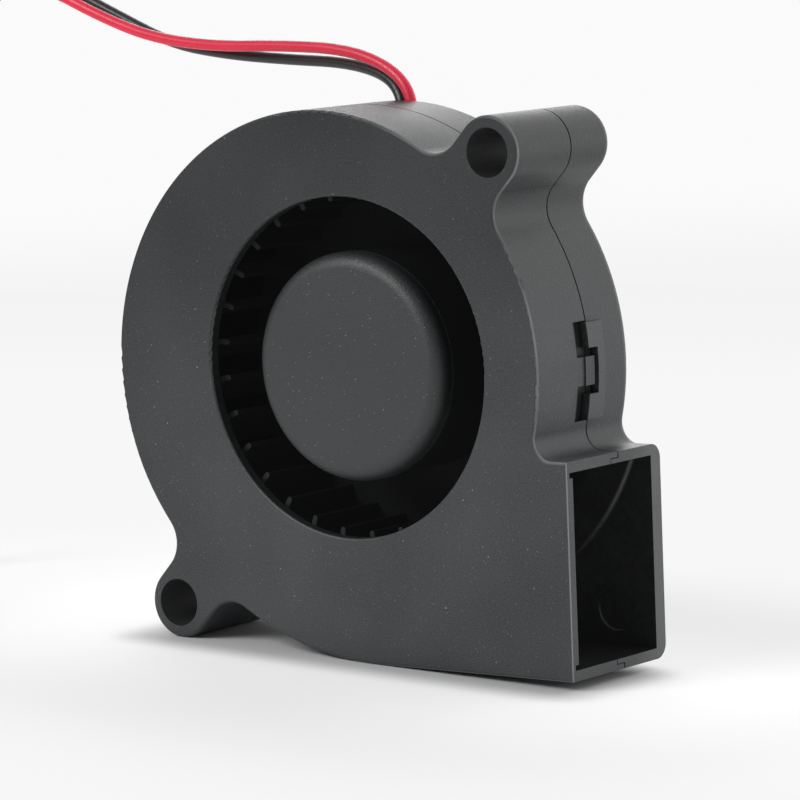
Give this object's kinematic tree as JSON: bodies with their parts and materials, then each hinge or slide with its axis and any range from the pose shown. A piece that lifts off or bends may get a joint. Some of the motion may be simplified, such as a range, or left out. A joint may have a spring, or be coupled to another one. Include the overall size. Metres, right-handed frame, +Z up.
{
  "type": "centrifugal blower fan",
  "caption": "Thin square-class radial blower: round inlet on the front, volute casing with two mounting ears, rectangular side outlet, and two free leads.",
  "frame": {"origin": "centre of the round inlet on the front face, on the impeller's axis", "axes": "+X out of the outlet, +Y from the front face to the rear face along the impeller's axis, +Z up"},
  "size_m": [0.1015, 0.0255, 0.0632],
  "materials": {
    "casing_plastic": "fine-textured glass-filled black plastic",
    "impeller_plastic": "black moulded plastic",
    "yoke_steel": "drawn steel",
    "magnet_ferrite": "bonded ferrite",
    "bushing_brass": "turned brass",
    "shaft_steel": "ground steel",
    "clip_nylon": "nylon",
    "bearing_bronze": "sintered bronze with oil",
    "washer_nylon": "natural nylon",
    "core_steel": "stacked steel laminations",
    "insulator_nylon": "natural nylon",
    "winding_copper": "enamelled copper wire",
    "tinned_metal": "tin",
    "board_laminate": "green solder mask on laminate",
    "chip_epoxy": "moulded epoxy",
    "capacitor_ceramic": "ceramic",
    "red_lead_insulation": "red insulation",
    "black_lead_insulation": "black insulation",
    "connector_nylon": "natural nylon"
  },
  "bodies": {
    "casing": {"front_cover": "casing_plastic", "rear_shell": "casing_plastic", "sleeve_bearing": "bearing_bronze", "oil_washer": "washer_nylon", "thrust_pad": "washer_nylon", "stator_core": "core_steel", "front_insulator": "insulator_nylon", "rear_insulator": "insulator_nylon", "stator_windings": "winding_copper", "terminal_pins": "tinned_metal", "circuit_board": "board_laminate", "hall_driver_chip": "chip_epoxy", "board_capacitor": "capacitor_ceramic", "board_resistors": "chip_epoxy", "solder_joints": "tinned_metal", "lead_conductors": "tinned_metal", "red_lead": "red_lead_insulation", "black_lead": "black_lead_insulation", "red_lead_end": "red_lead_insulation", "black_lead_end": "black_lead_insulation", "red_lead_coil": "red_lead_insulation", "black_lead_coil": "black_lead_insulation", "connector_housing": "connector_nylon", "connector_contacts": "tinned_metal"},
    "rotor": {"impeller": "impeller_plastic", "rotor_yoke": "yoke_steel", "rotor_magnet": "magnet_ferrite", "hub_bushing": "bushing_brass", "shaft": "shaft_steel", "retaining_clip": "clip_nylon"}
  },
  "joints": [
    {"name": "impeller_spin", "type": "hinge", "parent": "casing", "child": "rotor", "pos_m": [0, 0.0075, 0], "axis": [0, 1, 0], "continuous": true}
  ]
}
